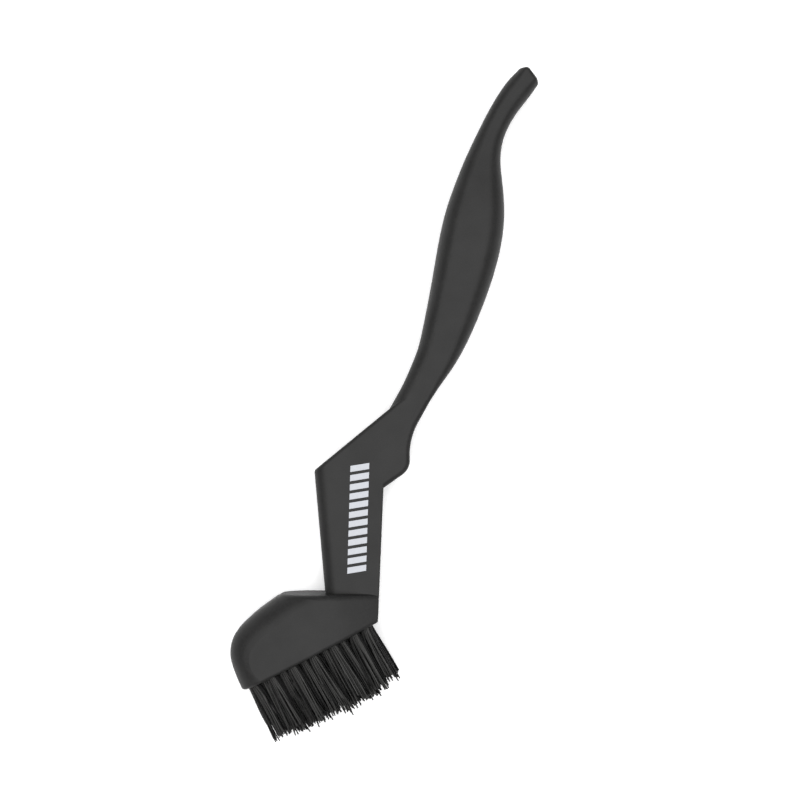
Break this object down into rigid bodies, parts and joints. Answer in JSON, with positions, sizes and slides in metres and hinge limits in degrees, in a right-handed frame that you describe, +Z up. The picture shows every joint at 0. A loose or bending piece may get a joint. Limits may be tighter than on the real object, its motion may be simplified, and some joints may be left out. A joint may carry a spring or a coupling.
{
  "type": "club groove cleaning brush",
  "caption": "Slim moulded hand brush with a long curved grip, a flat cranked neck and a boat-shaped head of stiff black bristle tufts, for cleaning club-face grooves.",
  "frame": {"origin": "centre of the flat side of the head on which the brush lies", "axes": "+X along the bristle face from the nose to the heel, +Y away from the bristles towards the grip, +Z up across the brush, away from the side it lies on"},
  "size_m": [0.1791, 0.1623, 0.022],
  "materials": {
    "moulding": "injection-moulded polypropylene in near-black grey, with a fine spark-eroded matte texture",
    "bristle": "extruded black nylon filament with a soft semi-gloss and cut ends",
    "anchor": "flat drawn wire, plain, hidden at the foot of each tuft"
  },
  "bodies": {
    "root": {"handle_body": "moulding", "tuft_01": "bristle", "tuft_02": "bristle", "tuft_03": "bristle", "tuft_04": "bristle", "tuft_05": "bristle", "tuft_06": "bristle", "tuft_07": "bristle", "tuft_08": "bristle", "tuft_09": "bristle", "tuft_10": "bristle", "tuft_11": "bristle", "tuft_12": "bristle", "tuft_13": "bristle", "tuft_14": "bristle", "tuft_15": "bristle", "tuft_16": "bristle", "tuft_17": "bristle", "tuft_18": "bristle", "tuft_19": "bristle", "tuft_20": "bristle", "tuft_21": "bristle", "tuft_22": "bristle", "tuft_23": "bristle", "tuft_24": "bristle", "tuft_25": "bristle", "tuft_26": "bristle", "tuft_27": "bristle", "tuft_28": "bristle", "tuft_29": "bristle", "tuft_30": "bristle", "tuft_31": "bristle", "tuft_anchors": "anchor"}
  },
  "joints": []
}
